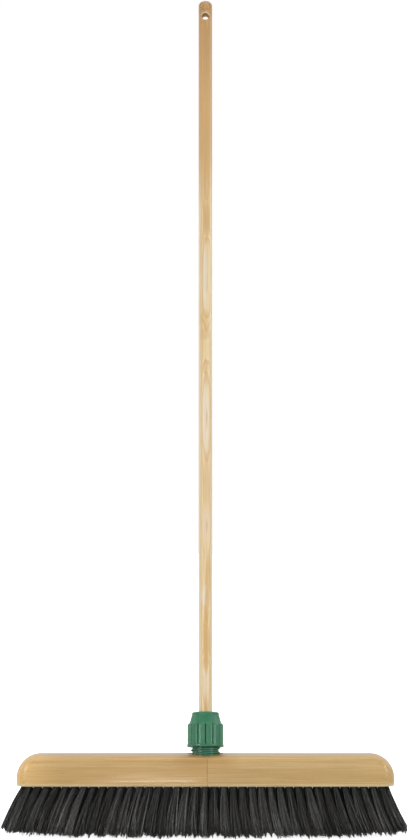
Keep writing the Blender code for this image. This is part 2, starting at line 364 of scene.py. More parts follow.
def tuft_lean(x):
    return math.copysign(END_LEAN * (abs(x) / END_TUFT_X) ** LEAN_POWER, x)


def row_tufts(index, count):
    """For each tuft of a row: its middle at the stock's underside and its way down."""
    places = []
    for i in range(count):
        x = (i - (count - 1) / 2) * TUFT_PITCH
        down = Vector((math.tan(tuft_lean(x)), math.tan(index * ROW_LEAN), -1.0))
        places.append((Vector((x, index * ROW_PITCH, TRIM)), down))
    return places


def tuft_holes(sides=12):
    points, faces = [], []
    turns = [2 * math.pi * i / sides for i in range(sides)]
    for _, index, count in ROWS:
        for middle, down in row_tufts(index, count):
            rings = []
            for height in (-5.0, HOLE_DEPTH):
                c = middle - down * height
                ring = [
                    (c.x + HOLE_RADIUS * math.cos(t), c.y + HOLE_RADIUS * math.sin(t), c.z)
                    for t in turns
                ]
                rings.append(ring)
            more, more_faces = lofted(rings)
            start = len(points)
            points += more.tolist()
            faces += [tuple(start + i for i in face) for face in more_faces]
    return new_object("holes", points, faces, smooth_angle=None)


def build_burrs(material):
    """Small splinters that the drill left between the holes of the outer rows."""
    rng = np.random.default_rng(7)
    points, faces = [], []
    for _, index, count in (ROWS[0], ROWS[-1]):
        for i in range(1, count):
            x = (i - count / 2) * TUFT_PITCH + rng.normal(0.0, 0.5)
            y = index * ROW_PITCH + math.copysign(rng.uniform(4.6, 6.2), index)
            width, length = rng.uniform(1.1, 1.5), rng.uniform(2.2, 3.4)
            start = len(points)
            for turn in range(4):
                angle = math.pi / 2 * turn + 0.5
                across, along = width * math.cos(angle), BURR_THICKNESS * math.sin(angle)
                points.append((x + across, y + along, TRIM + 0.4))
            points.append((x + rng.normal(0.0, 0.3), y, TRIM - length))
            faces += [(start + k, start + 4, start + (k + 1) % 4) for k in range(4)]
            faces.append((start, start + 1, start + 2, start + 3))
    burrs = new_object("stock_burrs", points, faces, smooth_angle=None)
    dress(burrs, "head", material, "stock_wood")


def build_stock(materials):
    frame = socket_frame()
    seat = ((SEAT_RADIUS - 0.4, SEAT_S), (SEAT_RADIUS + 0.4, SEAT_S + 0.9))
    bores = (
        seat + ((SEAT_RADIUS + 0.8, 30.0),),
        ((CORE_RADIUS + 0.3, SHOULDER_S - 0.3), (CORE_RADIUS + 0.3, 30.0)),
        ((SPIGOT_RADIUS + 0.3, SPIGOT_S - 0.3), (SPIGOT_RADIUS + 0.3, 30.0)),
        ((2.4, -30.5), (2.4, 30.0)),
    )
    for side, name, material in zip((-1, 1), ("left", "right"), materials, strict=True):
        half = stock_solid(f"stock_{name}")
        combine(half, [glue_joint(side)], "INTERSECT")
        cutters = [turned_cutter(profile, frame) for profile in bores]
        cutters.append(tuft_holes())
        combine(half, cutters, "DIFFERENCE")
        finish_shading(half, 34.0)
        dress(half, "head", material, "stock_wood", f"stock_{name}_half")
    build_burrs(materials[0])


# ---------------------------------------------------------------- tufts


def trim_wave(x):
    """How far below the trim plane the cut runs at x."""
    rng = np.random.default_rng(12)
    total = np.zeros(np.shape(x))
    for spacing, deviation in TRIM_WAVES:
        grid = np.arange(-360.0, 360.0, spacing)
        total += np.interp(x, grid, rng.normal(0.0, deviation, len(grid)))
    return total


def tuft_tips(rng, way, reach, end):
    """Where a tuft's fibres end across its direction: fanned out, less so outward in the
    end tufts, and drawn together into strands. Also the strand of each fibre."""
    n = len(reach)
    spread = np.array(TIP_SPREAD)
    tip = way * reach[:, None] * spread * rng.uniform(0.8, 1.15, n)[:, None]
    turn = rng.uniform(0, 2 * math.pi, STRANDS_PER_TUFT)
    out = np.sqrt(rng.uniform(0.02, 1.05, STRANDS_PER_TUFT))
    middles = np.stack([np.cos(turn), np.sin(turn)], 1) * out[:, None] * spread
    away = np.linalg.norm(tip[:, None] - middles[None], axis=2)
    strand = np.argmin(away, axis=1)
    pull = rng.uniform(0.15, 0.85, n)[:, None]
    tip = tip * (1 - pull) + middles[strand] * pull
    tip += rng.normal(0.0, 0.45, (n, 2))
    outward = tip[:, 0] * end > 0
    tip[outward, 0] *= 1.0 - 0.25 * abs(end) ** 9
    return tip, strand


def fibre_drops(rng, place, slope, strand, end):
    """How far below the stock each fibre of a tuft ends: near the trim plane, unevenly by
    strand, or sooner where the tuft leans so far that the trimmer missed it."""
    n = len(strand)
    drop = TRIM + 1.0 + trim_wave(place) + rng.normal(0.0, 0.6) + rng.normal(0.0, 0.9, n)
    drop += rng.normal(0.0, 1.4, STRANDS_PER_TUFT)[strand]
    drop -= np.where(rng.random(n) < 0.12, rng.uniform(1.0, 7.0, n), 0.0)
    longest = LONGEST_FIBRE - END_SHORTER * abs(end) ** 6
    longest *= 1.0 + rng.normal(0.0, 0.016, STRANDS_PER_TUFT)[strand] + trim_wave(place) / 110
    longest *= rng.uniform(0.97, 1.01, n) / np.sqrt(1 + slope**2)
    return np.minimum(drop, np.minimum(longest, TRIM - LOWEST_TIP))


def tuft_lines(rng, middle, down):
    """Centre lines of one tuft's fibres, as (fibre, step, xyz), and how pale each is. A
    fibre starts in its hole, fans out with its tuft and bends with its strand."""
    n = FIBRES_PER_TUFT
    reach = np.sqrt((np.arange(n) + 0.5) / n)
    turn = np.arange(n) * math.pi * (3 - math.sqrt(5)) + rng.uniform(0, 2 * math.pi)
    way = np.stack([np.cos(turn), np.sin(turn)], 1)
    root = way * (reach * (ROOT_RADIUS - FIBRE_RADIUS))[:, None]
    end = middle.x / END_TUFT_X
    tip, strand = tuft_tips(rng, way, reach, end)
    tip += rng.normal(0.0, 1.2, 2) * (1.0 - 0.6 * abs(end) ** 3)
    tip[:, 0] += TIP_DRIFT
    stray = rng.random(n) < 0.03
    tip[stray] += rng.normal(0.0, 2.2, (int(stray.sum()), 2)) * (1.0 - 0.8 * abs(end) ** 3)
    slope = np.hypot(down.x + (tip[:, 0] - root[:, 0]) / TRIM, down.y)
    place = middle.x + down.x * TRIM + tip[:, 0]
    drop = fibre_drops(rng, place, slope, strand, end)
    bow = rng.normal(0.0, 0.9, (STRANDS_PER_TUFT, 2))[strand] + rng.normal(0.0, 0.4, (n, 2))
    bow[:, 0] += BOW_DRIFT
    line = np.zeros((n, FIBRE_STEPS, 3))
    for step, t in enumerate(FIBRE_SHARES):
        fall = -4.0 + (drop + 4.0) * t
        ease = np.clip(fall / TRIM, 0.0, 1.0) ** (1.1 - 0.25 * abs(end) ** 9)
        across = root + (tip - root) * ease[:, None] + bow * math.sin(math.pi * t)
        line[:, step, 0] = middle.x + down.x * fall + across[:, 0]
        line[:, step, 1] = middle.y + down.y * fall + across[:, 1]
        line[:, step, 2] = TRIM - fall
    tone = rng.random(STRANDS_PER_TUFT)[strand] * 0.28 + rng.random(n) * 0.72
    return line, np.clip(tone + rng.normal(0.0, 0.07), 0.0, 1.0)


def fibre_mesh(name, lines, tones, rng):
    """Each fibre is a thin prism with a blunt point. Its tone and its share of the way
    down are point attributes for the material."""
    n, steps, _ = lines.shape
    turns = np.arange(FIBRE_SIDES) * 2 * math.pi / FIBRE_SIDES
    ring = np.stack([np.cos(turns), np.sin(turns), np.zeros(FIBRE_SIDES)], 1)
    radius = FIBRE_RADIUS * rng.uniform(0.82, 1.12, n)[:, None] * (1 - 0.18 * FIBRE_SHARES**3)
    body = lines[:, :, None, :] + radius[:, :, None, None] * ring
    point = lines[:, -1:, :] - np.array([0.0, 0.0, 0.22])
    per = steps * FIBRE_SIDES + 1
    points = np.concatenate([body.reshape(n, -1, 3), point], 1)
    one = []
    for step in range(steps - 1):
        a, b = step * FIBRE_SIDES, (step + 1) * FIBRE_SIDES
        for i in range(FIBRE_SIDES):
            j = (i + 1) % FIBRE_SIDES
            one.append((a + i, b + i, b + j, a + j))
    quads = (np.array(one)[None] + (np.arange(n) * per)[:, None, None]).reshape(-1, 4)
    a = (steps - 1) * FIBRE_SIDES
    one = [(a + i, per - 1, a + (i + 1) % FIBRE_SIDES) for i in range(FIBRE_SIDES)]
    tips = (np.array(one)[None] + (np.arange(n) * per)[:, None, None]).reshape(-1, 3)
    made = new_object(
        name, points.reshape(-1, 3), quads.tolist() + tips.tolist(), smooth_angle=None
    )
    tone = np.repeat(tones, per).astype(np.float32)
    along = np.append(np.repeat(FIBRE_SHARES, FIBRE_SIDES), 1.0)
    along = np.tile(along, n).astype(np.float32)
    for label, values in (("tone", tone), ("along", along)):
        attribute = made.data.attributes.new(label, "FLOAT", "POINT")
        attribute.data.foreach_set("value", values)
    return made


def build_tufts(material):
    for number, (name, index, count) in enumerate(ROWS):
        rng = np.random.default_rng(40 + number)
        tufts = [tuft_lines(rng, middle, down) for middle, down in row_tufts(index, count)]
        lines = np.concatenate([line for line, _ in tufts])
        tones = np.concatenate([tone for _, tone in tufts])
        piece = fibre_mesh(f"bristles_{name}", lines, tones, rng)
        dress(piece, "head", material, "bristle", f"tuft_row_{name}")


# ---------------------------------------------------------------- socket and nut


def thread_lift(heights, columns, phase):
    """For each height and column, from 0 to 1 how far up the thread's flank it is."""
    turn = np.arange(columns) / columns
    middle = phase + PITCH * (turn - 0.5)
    away = (np.asarray(heights, float)[:, None] - middle[None]) / PITCH
    away = np.abs(away - np.round(away)) * PITCH
    return 1.0 - smoothstep(away, 0.75, 1.95)


def build_socket(material):
    columns = 96
    outside = np.arange(SHOULDER_S + 0.6, SOCKET_TOP_S - 0.5, 0.4)
    lift = thread_lift(outside, columns, TURN_PHASE)
    turn = np.arange(columns) / columns
    start = TURN_PHASE + PITCH * (THREAD_START - 0.5 - 1.0)
    second = start + PITCH * (turn - THREAD_START + 0.5)
    lowest = np.where(turn > THREAD_START, start - 2.5, second)
    fade = smoothstep(outside[:, None] - lowest[None], 0.0, 0.9)
    fade *= 1.0 - smoothstep(outside, SOCKET_TOP_S - 3.2, SOCKET_TOP_S - 1.2)[:, None]
    sides = CORE_RADIUS + (CREST_RADIUS - CORE_RADIUS) * lift * fade
    radii = [2.6, SPIGOT_RADIUS - 0.6, SPIGOT_RADIUS, SPIGOT_RADIUS]
    heights = [SPIGOT_S, SPIGOT_S, SPIGOT_S + 0.6, SHOULDER_S]
    radii += [CORE_RADIUS - 0.5, *sides, CORE_RADIUS - 0.9, MOUTH_RADIUS + 0.5]
    heights += [SHOULDER_S, *outside, SOCKET_TOP_S, SOCKET_TOP_S]
    radii += [MOUTH_RADIUS, BORE_RADIUS, BORE_RADIUS, 5.0, 2.6]
    heights += [SOCKET_TOP_S - 0.5, MOUTH_FOOT_S, FLOOR_S, FLOOR_S, FLOOR_S - 3.0]
    points, faces = tube(radii, heights, columns)
    socket = new_object("socket_body", points, faces, socket_frame(), 50.0)
    grime_and_shade = np.zeros((len(radii), columns))
    # Painted shade, with some grime, darkens the thread's roots more than its crests.
    grime_and_shade[5 : 5 + len(sides)] = 1.0 - 0.6 * lift * fade
    mark_grime_and_shade(socket, grime_and_shade)
    dress(socket, "head", material, "green_plastic", "socket")


def nut_outline():
    """(height, radius) up the outside of the nut, over its lands."""
    flange = [(0.0, -0.9), (0.25, -0.35), (0.7, -0.05), (1.3, 0.0)]
    line = [(NUT_BOTTOM_S + rise, FLANGE_RADIUS + grow) for rise, grow in flange]
    line += [(13.4, FLANGE_RADIUS), (14.1, FLANGE_RADIUS - 0.04)]
    line += [(14.5, FLANGE_RADIUS - 0.2), (14.8, LAND_RADIUS - 0.02)]
    line += [(s, LAND_RADIUS) for s in (15.2, 15.7, 16.3, 17.2, 20.0, 26.0, 32.0)]
    line += [(s, LAND_RADIUS) for s in (38.0, 43.0, 45.2)]
    line += [(45.9, 29.05), (46.5, 28.8), (47.1, 28.4), (47.7, 27.85), (48.3, 27.15)]
    line += [(48.9, 26.3), (49.6, 25.75), (50.6, 25.4), (52.3, 24.85), (54.0, 24.3)]
    line += [(57.0, 23.45), (60.2, 22.65), (61.9, 22.2), (62.3, 21.75), (62.7, 21.7)]
    line += [(63.1, 22.0), (63.6, 22.15), (64.5, 22.05), (65.3, 21.85), (65.95, 21.45)]
    line += [(66.4, 20.8), (66.8, 19.3)]
    line += [(67.15, 16.8), (67.45, 14.4), (NUT_TOP_S, 13.4), (67.4, 12.75), (66.9, 12.2)]
    return line


def mark_grime_and_shade(piece, grime_and_shade):
    """Stores, from 0 to 1, how much painted shade with some grime the material puts at each point.
    """
    attribute = piece.data.attributes.new("grime_and_shade", "FLOAT", "POINT")
    attribute.data.foreach_set("value", np.asarray(grime_and_shade, np.float32).ravel())


def off_groove(columns):
    """How far each column is from its nearest groove, in the grooves' spacings."""
    lobe = np.arange(columns) / columns * GROOVES + GROOVES / 4
    return np.abs(lobe - np.round(lobe))


def groove_cut(columns):
    """From 0 on a land to 1 at the bottom of a groove, for each column."""
    away = off_groove(columns) * 2 * math.pi * LAND_RADIUS / GROOVES
    return 1.0 - smoothstep(away, 0.25, GROOVE_WIDTH / 2)


def land_crown(columns):
    """How far each column of a land falls below its middle: lands are slightly round."""
    away = off_groove(columns) * 2
    return (1.0 - away) ** 2 * LAND_FALL


def build_clamp_nut(material):
    columns = GROOVES * 20
    cut, crown = groove_cut(columns), land_crown(columns)
    radii, heights, grime_and_shade = [], [], []
    for height, radius in nut_outline():
        depth = GROOVE_DEPTH * smoothstep(height, 14.6, 15.9)
        depth *= 1.0 - smoothstep(height, 46.8, 49.4)
        lands = smoothstep(height, 14.4, 15.6) * (1.0 - smoothstep(height, 45.5, 48.5))
        radii.append(radius - depth * cut - crown * lands)
        heights.append(height)
        # Under the flange the plastic gets painted shade.
        flange_shade = 0.4 if height < 14.4 else 0.0
        grime_and_shade.append(np.maximum(depth / GROOVE_DEPTH * cut, flange_shade))
    radii += [NUT_BORE_RADIUS, NUT_BORE_RADIUS, 13.2, 18.2, NUT_WALL_RADIUS]
    heights += [66.2, 60.6, 60.0, 46.5, 42.0]
    inside = np.arange(41.4, NUT_BOTTOM_S + 0.4, -0.6)
    lift = thread_lift(inside, columns, TURN_PHASE + PITCH / 2)
    fade = 1.0 - smoothstep(inside, 38.5, 40.5)
    fade *= smoothstep(inside, NUT_BOTTOM_S + 1.0, NUT_BOTTOM_S + 3.0)
    depth = (NUT_WALL_RADIUS - NUT_RIDGE_RADIUS) * lift * fade[:, None]
    radii += list(NUT_WALL_RADIUS - depth)
    heights += list(inside)
    radii += [NUT_WALL_RADIUS + 0.1, NUT_WALL_RADIUS + 0.6]
    heights += [NUT_BOTTOM_S + 0.3, NUT_BOTTOM_S]
    points, faces = tube(radii, heights, columns)
    nut = new_object("nut_body", points, faces, socket_frame(), 50.0)
    # The nut's inside is all in painted shade.
    inner = np.ones((len(radii) - len(grime_and_shade), columns))
    mark_grime_and_shade(nut, np.concatenate([np.array(grime_and_shade), inner]))
    dress(nut, "clamp_nut", material, "green_plastic", "clamp_nut")


# ---------------------------------------------------------------- handle


def handle_radius(height):
    return HANDLE_RADIUS + HANDLE_TAPER * height / HANDLE_TOP_S


def build_handle(material):
    columns = 72
    outline = [(HANDLE_RADIUS - 1.4, HANDLE_END_S), (HANDLE_RADIUS - 0.5, HANDLE_END_S + 0.4)]
    outline.append((HANDLE_RADIUS, HANDLE_END_S + 1.6))
    crown = handle_radius(HANDLE_TOP_S)
    shoulder = HANDLE_TOP_S - DOME_RISE
    for height in np.linspace(HANDLE_END_S + 30.0, shoulder - 50.0, 28):
        outline.append((handle_radius(height), height))
    for height in np.linspace(shoulder - 44.0, shoulder - 2.0, 12):
        outline.append((handle_radius(height), height))
    for step in range(12):
        angle = math.pi / 2 * step / 12
        outline.append((crown * math.cos(angle), shoulder + DOME_RISE * math.sin(angle)))
    turns = np.arange(columns) * 2 * math.pi / columns
    rings = []
    for radius, height in outline:
        up = np.full(columns, float(height))
        rings.append(np.stack([radius * np.cos(turns), radius * np.sin(turns), up], 1))
    handle = new_object("handle_pole", *lofted(rings), matrix=socket_frame())
    place = Matrix.Translation(Vector((0, 0, HANDLE_TOP_S - HANG_HOLE_DROP)) * MM)
    matrix = socket_frame() @ place @ Matrix.Rotation(math.pi / 2, 4, "X")
    wide = HANG_HOLE_RADIUS + HOLE_CHAMFER
    drill = ((wide, -30.0), (wide, -11.9), (HANG_HOLE_RADIUS, -10.9))
    drill += ((HANG_HOLE_RADIUS, 10.9), (wide, 11.9), (wide, 30.0))
    combine(handle, [turned_cutter(drill, matrix, 48)], "DIFFERENCE")
    finish_shading(handle, 32.0)
    dress(handle, "handle", material, "handle_wood", "handle")


# ---------------------------------------------------------------- materials


class Graph:
    """Short names for building one material's nodes."""

    def __init__(self, name):
        self.material = bpy.data.materials.new(name)
        self.material.use_nodes = True
        self.nodes = self.material.node_tree.nodes
        self.links = self.material.node_tree.links
        self.shader = self.nodes["Principled BSDF"]

    def add(self, kind, values=None, **settings):
        node = self.nodes.new(kind)
        for key, value in settings.items():
            setattr(node, key, value)
        for key, value in (values or {}).items():
            self.feed(node.inputs[key], value)
        return node

    def feed(self, socket, value):
        if isinstance(value, bpy.types.NodeSocket):
            self.links.new(value, socket)
        else:
            socket.default_value = value

    def math(self, operation, first, second=0.0, third=0.0, clamp=False):
        values = {0: first, 1: second, 2: third}
        node = self.add("ShaderNodeMath", values, operation=operation, use_clamp=clamp)
        return node.outputs[0]

    def place(self):
        return self.add("ShaderNodeTexCoord").outputs["Object"]

    def scaled(self, vector, scale, offset=(0.0, 0.0, 0.0)):
        values = {"Vector": vector, "Scale": scale, "Location": offset}
        return self.add("ShaderNodeMapping", values).outputs[0]

    def noise(self, vector, scale, detail=2.0, roughness=0.5, distortion=0.0):
        values = {"Vector": vector, "Scale": scale, "Detail": detail}
        values.update({"Roughness": roughness, "Distortion": distortion})
        return self.add("ShaderNodeTexNoise", values).outputs["Fac"]

    def spread(self, value, low, high, to_low=0.0, to_high=1.0):
        values = {0: value, 1: low, 2: high, 3: to_low, 4: to_high}
        node = self.add("ShaderNodeMapRange", values, interpolation_type="SMOOTHSTEP")
        return node.outputs[0]

    def mix(self, share, first, second, blend="MIX"):
        node = self.add("ShaderNodeMix", data_type="RGBA", blend_type=blend)
        self.feed(node.inputs[0], share)
        for socket, value in ((node.inputs[6], first), (node.inputs[7], second)):
            self.feed(socket, value if isinstance(value, bpy.types.NodeSocket) else (*value, 1.0))
        return node.outputs[2]

    def ramp(self, value, stops):
        node = self.add("ShaderNodeValToRGB", {"Fac": value})
        node.color_ramp.interpolation = "EASE"
        elements = node.color_ramp.elements
        while len(elements) < len(stops):
            elements.new(0.5)
        for element, (at, colour) in zip(elements, stops, strict=True):
            element.position = at
            element.color = (*colour, 1.0)
        return node.outputs["Color"]

    def bump(self, height, distance, strength=1.0, under=None):
        values = {"Height": height, "Distance": distance, "Strength": strength}
        node = self.add("ShaderNodeBump", values)
        if under:
            self.feed(node.inputs["Normal"], under)
        return node.outputs[0]

    def finish(self, colour, roughness, normal=None, **fixed):
        self.feed(self.shader.inputs["Base Color"], colour)
        self.feed(self.shader.inputs["Roughness"], roughness)
        if normal:
            self.feed(self.shader.inputs["Normal"], normal)
        for key, value in fixed.items():
            self.shader.inputs[key.replace("_", " ")].default_value = value
        return self.material


def growth_bands(g, place, ring_tilt):
    """How far into the late wood of its growth band a place lies."""
    xyz = g.add("ShaderNodeSeparateXYZ", {0: place})
    wander = g.noise(g.scaled(place, (2.2, 14.0, 14.0)), 1.0, 2.0)
    slow = g.noise(g.scaled(place, (5.0, 40.0, 40.0)), 1.0, 3.0)
    across = g.math("MULTIPLY_ADD", xyz.outputs["Y"], 0.55, xyz.outputs["Z"])
    across = g.math("MULTIPLY_ADD", xyz.outputs["X"], ring_tilt, across)
    across = g.math("MULTIPLY_ADD", wander, 0.034, across)
    across = g.math("MULTIPLY_ADD", slow, 0.006, across)
    ring = g.math("PINGPONG", g.math("MULTIPLY", across, 118.0), 1.0)
    return g.spread(ring, 0.35, 1.0)


def stock_tints(g, colour, light, painted_end_light):
    """The stock's changes of colour: painted light on its ends, mostly the left one, painted
    shadow of the nut around the socket's seat, painted light on its foot and a stained glue line."""
    xyz = g.add("ShaderNodeSeparateXYZ", {0: g.place()})
    x, y, z = (xyz.outputs[axis] for axis in "XYZ")
    # Painted light brightens the ends: strongly on the left half, hardly on the right.
    ends = g.spread(g.math("ABSOLUTE", x), 0.225, 0.3, 0.0, painted_end_light)
    colour = g.mix(ends, colour, tuple(min(1.0, c * 1.3) for c in light))
    # Painted shadow of the nut darkens the crown around the socket's seat and turns it orange.
    near = g.spread(g.math("ABSOLUTE", x), 0.026, 0.062, 0.75, 0.0)
    high = g.spread(z, (STOCK_TOP - 34.0) * MM, (STOCK_TOP - 8.0) * MM)
    seat = tuple(c * share for c, share in zip(light, (0.8, 0.7, 0.52), strict=True))
    colour = g.mix(g.math("MULTIPLY", near, high), colour, seat)
    # Painted light from below makes the stock's lower edge paler.
    foot = g.spread(z, (TRIM + 1.0) * MM, (TRIM + 7.5) * MM, 0.75, 0.0)
    colour = g.mix(foot, colour, (0.92, 0.78, 0.48))
    beside = g.math("SUBTRACT", x, GLUE_LINE_X * MM)
    seam = g.spread(g.math("ABSOLUTE", beside), 0.0003, 0.0011, 0.55, 0.0)
    flank = g.spread(g.math("ABSOLUTE", y), 0.026, 0.028)
    return g.mix(g.math("MULTIPLY", seam, flank), colour, (0.42, 0.19, 0.05))


def beech(name, shift, light, dark, ring_tilt, painted_end_light):
    """Lacquered light hardwood, grain along X: broad growth bands, streaks, veins and the
    short dark flecks of its rays. shift moves the figure, so that the halves differ."""
    g = Graph(name)
    place = g.scaled(g.place(), (1.0, 1.0, 1.0), shift)
    late = growth_bands(g, place, ring_tilt)
    streak = g.noise(g.scaled(place, (7.0, 470.0, 470.0)), 1.0, 4.0, 0.66)
    vein = g.noise(g.scaled(place, (9.0, 620.0, 620.0)), 1.0, 2.0, 0.5)
    fine = g.noise(g.scaled(place, (24.0, 1500.0, 1500.0)), 1.0, 3.0, 0.6)
    fleck = g.noise(g.scaled(place, (240.0, 2100.0, 2100.0)), 1.0, 1.0)
    fleck = g.spread(fleck, 0.655, 0.75)
    blotch = g.noise(g.scaled(place, (4.0, 22.0, 22.0)), 1.0, 2.0)
    pale = tuple(min(1.0, c * 1.16 + 0.03) for c in light)
    colour = g.mix(g.math("MULTIPLY", late, 0.22), light, dark)
    colour = g.mix(g.spread(streak, 0.38, 0.66, 0.0, 0.7), colour, dark)
    colour = g.mix(g.spread(blotch, 0.5, 0.75, 0.0, 0.4), colour, pale)
    colour = stock_tints(g, colour, light, painted_end_light)
    darker, darkest, ray = (tuple(c * share for c in dark) for share in (0.88, 0.62, 0.42))
    colour = g.mix(g.spread(vein, 0.54, 0.64, 0.0, 0.5), colour, darker)
    colour = g.mix(g.spread(fine, 0.4, 0.75, 0.0, 0.16), colour, darkest)
    colour = g.mix(g.math("MULTIPLY", fleck, 0.4), colour, ray)
    rough = g.spread(streak, 0.3, 0.7, 0.28, 0.38)
    height = g.math("MULTIPLY_ADD", fine, 0.5, streak)
    ripple = g.noise(g.scaled(place, (420.0, 140.0, 140.0)), 1.0, 3.0)
    normal = g.bump(height, 0.00006, 0.35, under=g.bump(ripple, 0.0003, 0.5))
    fixed = {"Coat_Weight": 0.3, "Coat_Roughness": 0.13, "Specular_IOR_Level": 0.3}
    return g.finish(colour, rough, normal, **fixed)


# The handle's growth layers: at each share of its height, how deep its front line lies, as
# a share of the whole depth. Where the depth turns back, the lines close into nested tips.
HANDLE_FIGURE = (
    (0.0, 0.9),
    (0.035, 0.82),
    (0.1, 0.2),
    (0.14, 0.76),
    (0.18, 0.45),
    (0.25, 0.66),
    (0.29, 0.52),
    (0.335, 0.66),
    (0.38, 0.46),
    (0.435, 0.15),
    (0.485, 0.4),
    (0.505, 0.62),
    (0.526, 0.97),
    (0.57, 0.38),
    (0.62, 0.15),
    (0.67, 0.4),
    (0.7, 0.74),
    (0.74, 0.42),
    (0.8, 0.7),
    (0.9, 0.96),
    (1.0, 0.82),
)
HANDLE_DEPTH = 2.7  # in growth layers
HANDLE_LAYER = 3.3  # thickness of one
CREAM, TAN, AMBER = (0.86, 0.76, 0.58), (0.7, 0.47, 0.225), (0.72, 0.45, 0.155)
# Long lenses of pale or darker wood along the handle: from and to, as shares of its height,
# middle and half width in millimetres across its front, colour and strength.
HANDLE_LENSES = (
    (-0.03, 0.085, 1.0, 9.0, TAN, 0.45),
    (0.068, 0.112, -1.0, 7.0, CREAM, 0.6),
    (0.096, 0.192, 0.5, 6.5, AMBER, 0.85),
    (0.1, 0.142, 0.0, 7.0, AMBER, 0.4),
    (0.186, 0.217, -0.5, 10.0, CREAM, 0.9),
    (0.183, 0.262, 5.0, 6.5, AMBER, 0.85),
    (0.265, 0.32, 0.0, 8.0, (0.84, 0.68, 0.5), 0.75),
    (0.31, 0.385, 1.5, 8.0, TAN, 0.4),
    (0.374, 0.497, 0.0, 7.5, CREAM, 0.9),
    (0.49, 0.512, 0.0, 7.0, TAN, 0.55),
    (0.535, 0.556, -1.0, 12.0, TAN, 0.5),
    (0.552, 0.58, -1.0, 9.0, AMBER, 0.4),
    (0.568, 0.68, -0.5, 6.0, CREAM, 0.95),
    (0.668, 0.725, 3.0, 6.5, TAN, 0.75),
    (0.715, 0.775, -1.5, 5.0, CREAM, 0.3),
)


def lens_masks(g, share, side):
    """For each lens, how much of it shows at a place: pointed at both ends, soft edged."""
    masks = []
    for low, high, middle, half_width, *_ in HANDLE_LENSES:
        centre, half = (low + high) / 2, (high - low) / 2
        along = g.math("MULTIPLY_ADD", share, 1 / half, -centre / half)
        across = g.math("MULTIPLY_ADD", side, 1 / half_width, -middle / half_width)
        along = g.math("POWER", g.math("ABSOLUTE", along), 2.0)
        away = g.math("ADD", along, g.math("ABSOLUTE", across))
        masks.append(g.spread(away, 0.35, 1.25, 1.0, 0.0))
    return masks


def growth_lines(g, xyz, share, wander):
    """Thin darker late wood where the flat growth layers meet the round surface."""
    shifted = g.math("MULTIPLY_ADD", wander, 0.02, share)
    curve = g.add("ShaderNodeFloatCurve", {"Value": shifted})
    points = curve.mapping.curves[0].points
    while len(points) < len(HANDLE_FIGURE):
        points.new(0.5, 0.5)
    for point, (at, depth) in zip(points, HANDLE_FIGURE, strict=True):
        point.location = (at, depth)
    curve.mapping.update()
    inward = g.math("MULTIPLY_ADD", xyz.outputs["X"], -0.2, xyz.outputs["Y"])
    inward = g.math("DIVIDE", inward, HANDLE_LAYER * MM)
    depth = g.math("MULTIPLY_ADD", curve.outputs[0], HANDLE_DEPTH, inward)
    depth = g.math("MULTIPLY_ADD", wander, 0.5, depth)
    layer = g.math("FRACT", g.math("ADD", depth, 20.0))
    late = g.spread(layer, 0.3, 0.9)
    return g.math("MULTIPLY", late, g.spread(layer, 0.93, 1.0, 1.0, 0.0))


def hole_wall(g, xyz):
    """How much a place lies on the bare, unlacquered wall of the hang hole."""
    flat = g.add("ShaderNodeCombineXYZ", {0: xyz.outputs["X"], 1: xyz.outputs["Y"]})
    radius = g.add("ShaderNodeVectorMath", {0: flat.outputs[0]}, operation="LENGTH")
    skin = (HANDLE_RADIUS + HANDLE_TAPER) * MM
    inner = g.spread(radius.outputs["Value"], skin - 0.0016, skin - 0.0004, 1.0, 0.0)
    shoulder = (HANDLE_TOP_S - DOME_RISE) * MM
    below = g.spread(xyz.outputs["Z"], shoulder - 0.003, shoulder - 0.001, 1.0, 0.0)
    return g.math("MULTIPLY", inner, below)


def hole_rim_highlight(g, xyz):
    """How much painted highlight a place gets on the rim above the hang hole."""
    rise = g.math("SUBTRACT", xyz.outputs["Z"], (HANDLE_TOP_S - HANG_HOLE_DROP) * MM)
    flat = g.add("ShaderNodeCombineXYZ", {0: xyz.outputs["X"], 1: rise})
    away = g.add("ShaderNodeVectorMath", {0: flat.outputs[0]}, operation="LENGTH")
    edge = HANG_HOLE_RADIUS * MM
    near = g.spread(away.outputs["Value"], edge + 0.0008, edge + 0.0026, 0.7, 0.0)
    return g.math("MULTIPLY", near, g.spread(rise, 0.0, 0.004))


def pole_colour(g, xyz, share, wander, streak):
    """The lacquered pole's colour but for its finest marks: base tones, lenses, golden
    wood towards the top, painted light on its edges lower down and growth lines."""
    colour = g.mix(g.spread(streak, 0.35, 0.65), (0.87, 0.69, 0.4), (0.83, 0.625, 0.34))
    side = g.math("MULTIPLY_ADD", xyz.outputs["X"], 1000.0, g.math("MULTIPLY", wander, 7.0))
    masks = lens_masks(g, g.math("MULTIPLY_ADD", wander, 0.012, share), side)
    for mask, (*_, tint, strength) in zip(masks, HANDLE_LENSES, strict=True):
        colour = g.mix(g.math("MULTIPLY", mask, strength), colour, tint)
    high = g.math("MULTIPLY_ADD", wander, 0.08, share)
    golden = g.mix(g.spread(high, 0.84, 1.0), (0.645, 0.405, 0.172), (0.49, 0.27, 0.108))
    colour = g.mix(g.spread(high, 0.66, 0.8, 0.0, 0.88), colour, golden)
    # Painted light makes the pole's sides paler below the golden top.
    edge = g.spread(g.math("ABSOLUTE", side), 5.5, 11.0)
    low = g.spread(share, 0.7, 0.8, 0.85, 0.0)
    colour = g.mix(g.math("MULTIPLY", edge, low), colour, (0.96, 0.84, 0.6))
    lines = growth_lines(g, xyz, share, wander)
    return g.mix(g.math("MULTIPLY", lines, 0.6), colour, (0.71, 0.43, 0.18))


